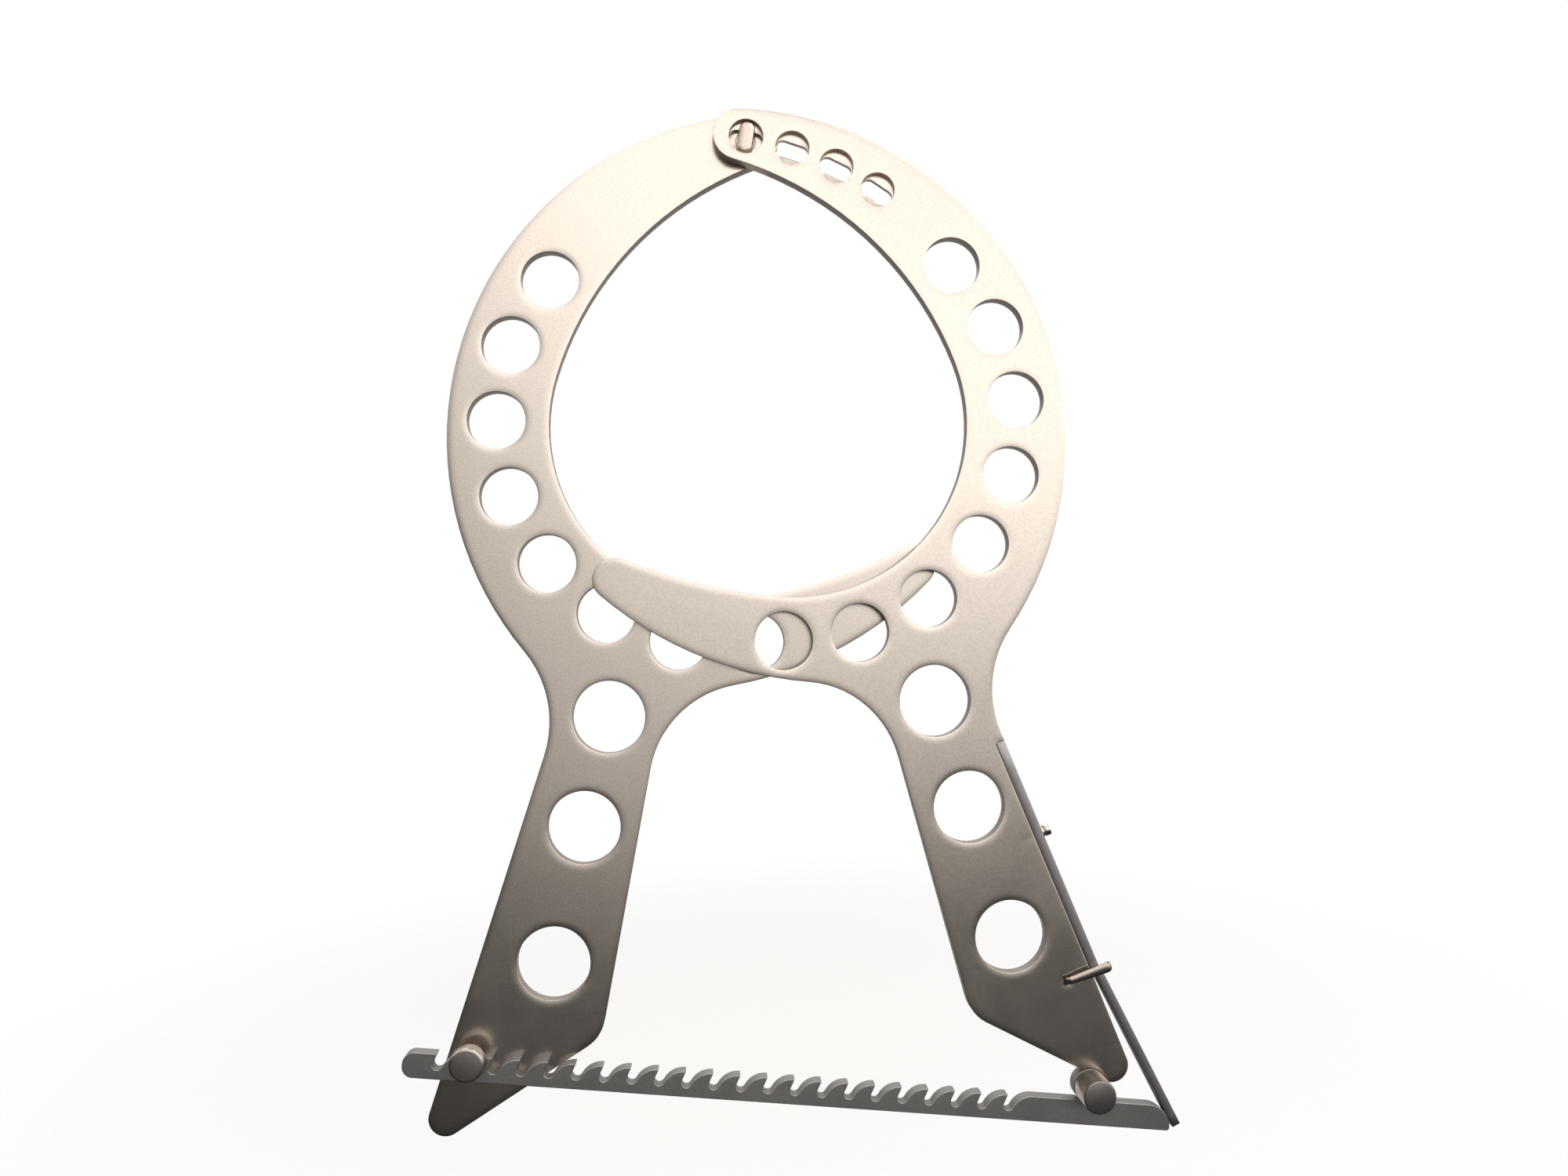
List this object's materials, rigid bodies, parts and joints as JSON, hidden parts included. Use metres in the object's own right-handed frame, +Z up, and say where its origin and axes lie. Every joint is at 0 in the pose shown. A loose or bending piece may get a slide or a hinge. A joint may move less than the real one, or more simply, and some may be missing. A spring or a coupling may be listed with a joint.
{
  "type": "breast elevator",
  "caption": "Two flat perforated stainless arms hinged into a ring at the top, with legs held apart by a hooked ratchet bar with a leaf spring and a thumb screw.",
  "frame": {"origin": "the grip: the middle of the rear leg between its two lower holes, in the plane where the two plates meet", "axes": "+X to the right seen from the front, +Y to the back, square to the plates, +Z up from the legs to the ring"},
  "size_m": [0.2291, 0.0169, 0.3155],
  "materials": {
    "satin_plate": "fine bead-blasted satin",
    "satin_bar": "satin, milled teeth",
    "turned_steel": "turned and satin polished",
    "spring_steel": "ground spring strip",
    "bright_steel": "polished"
  },
  "bodies": {
    "rear_arm": {"rear_plate": "satin_plate", "hinge_stud": "turned_steel", "catch_stud": "turned_steel"},
    "front_arm": {"front_plate": "satin_plate", "spring_screw": "bright_steel", "spring_keeper": "bright_steel"},
    "spring_end": {"leaf_spring": "spring_steel"},
    "ratchet": {"ratchet_bar": "satin_bar"},
    "thumb": {"thumb_screw": "turned_steel"}
  },
  "joints": [
    {"name": "ring_hinge", "type": "hinge", "parent": "rear_arm", "child": "front_arm", "pos_m": [0.0631, 0, 0.2263], "axis": [0, 1, 0], "range_deg": [0, 30]},
    {"name": "ratchet_swing", "type": "hinge", "parent": "front_arm", "child": "ratchet", "pos_m": [0.1531, 0, -0.0657], "axis": [0, -1, 0], "range_deg": [0, 39]},
    {"name": "spring_bend", "type": "hinge", "parent": "front_arm", "child": "spring_end", "pos_m": [0.1565, -0.002, -0.0325], "axis": [0, -1, 0], "range_deg": [0, 15.6], "deforming": ["leaf_spring"]},
    {"name": "thumb_turn", "type": "hinge", "parent": "front_arm", "child": "thumb", "pos_m": [0.1531, 0, -0.0657], "axis": [0, 1, 0], "range_deg": [0, 300]}
  ],
  "couplings": [
    {"joint": "ratchet_swing", "follows": "ring_hinge", "ratio": 1.3},
    {"joint": "spring_bend", "follows": "ring_hinge", "ratio": 0.52}
  ]
}
